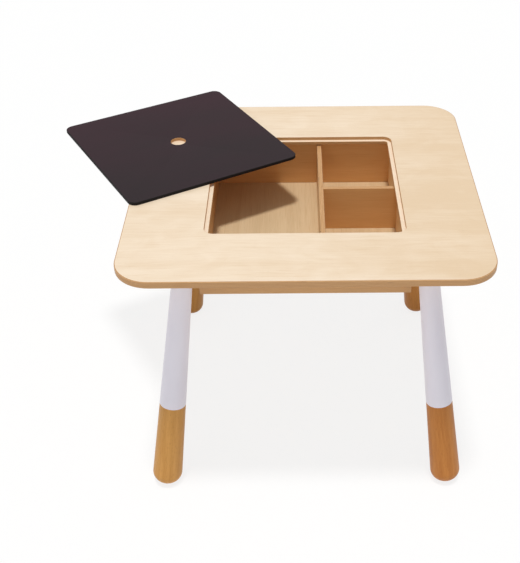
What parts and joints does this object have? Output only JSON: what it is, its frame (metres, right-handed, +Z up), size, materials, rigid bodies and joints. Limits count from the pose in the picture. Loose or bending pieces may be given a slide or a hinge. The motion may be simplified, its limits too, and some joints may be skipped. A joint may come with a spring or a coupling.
{
  "type": "children's table with storage box",
  "caption": "Square low children's table on splayed round legs, with a divided storage box under an opening in its top and a loose lid with a finger hole that closes the opening.",
  "frame": {"origin": "on the floor, under the middle of the table top", "axes": "+Z up, +X to the table's right, +Y to its back; the lid lies over the back left corner"},
  "size_m": [0.7558, 0.6633, 0.486],
  "materials": {
    "maple_ply": "maple-faced plywood, clear satin lacquer",
    "chalkboard": "plywood with matte black chalkboard paint on its upper face",
    "birch": "birch plywood, clear satin lacquer",
    "leg_wood": "beech, white satin paint above and clear lacquer on the lowest part",
    "beech": "bare beech",
    "steel": "zinc plated",
    "brass": "plain"
  },
  "bodies": {
    "table": {"tabletop": "maple_ply", "box_front": "birch", "box_back": "birch", "box_left": "birch", "box_right": "birch", "box_floor": "birch", "long_divider": "birch", "cross_divider": "birch", "leg_front_left": "leg_wood", "leg_front_right": "leg_wood", "leg_back_left": "leg_wood", "leg_back_right": "leg_wood", "leg_block_front_left": "birch", "leg_block_front_right": "birch", "leg_block_back_left": "birch", "leg_block_back_right": "birch", "cleat_front": "birch", "cleat_back": "birch", "cleat_left": "birch", "cleat_right": "birch", "leg_bolts": "steel", "leg_inserts": "brass", "leg_block_screws": "steel", "cleat_screws": "steel", "box_dowels": "beech"},
    "lid": {"lid": "chalkboard"}
  },
  "joints": [
    {"name": "lid_lift", "type": "slide", "parent": "table", "child": "lid", "axis": [0, 0, 1], "range_m": [0, 0.3]}
  ]
}
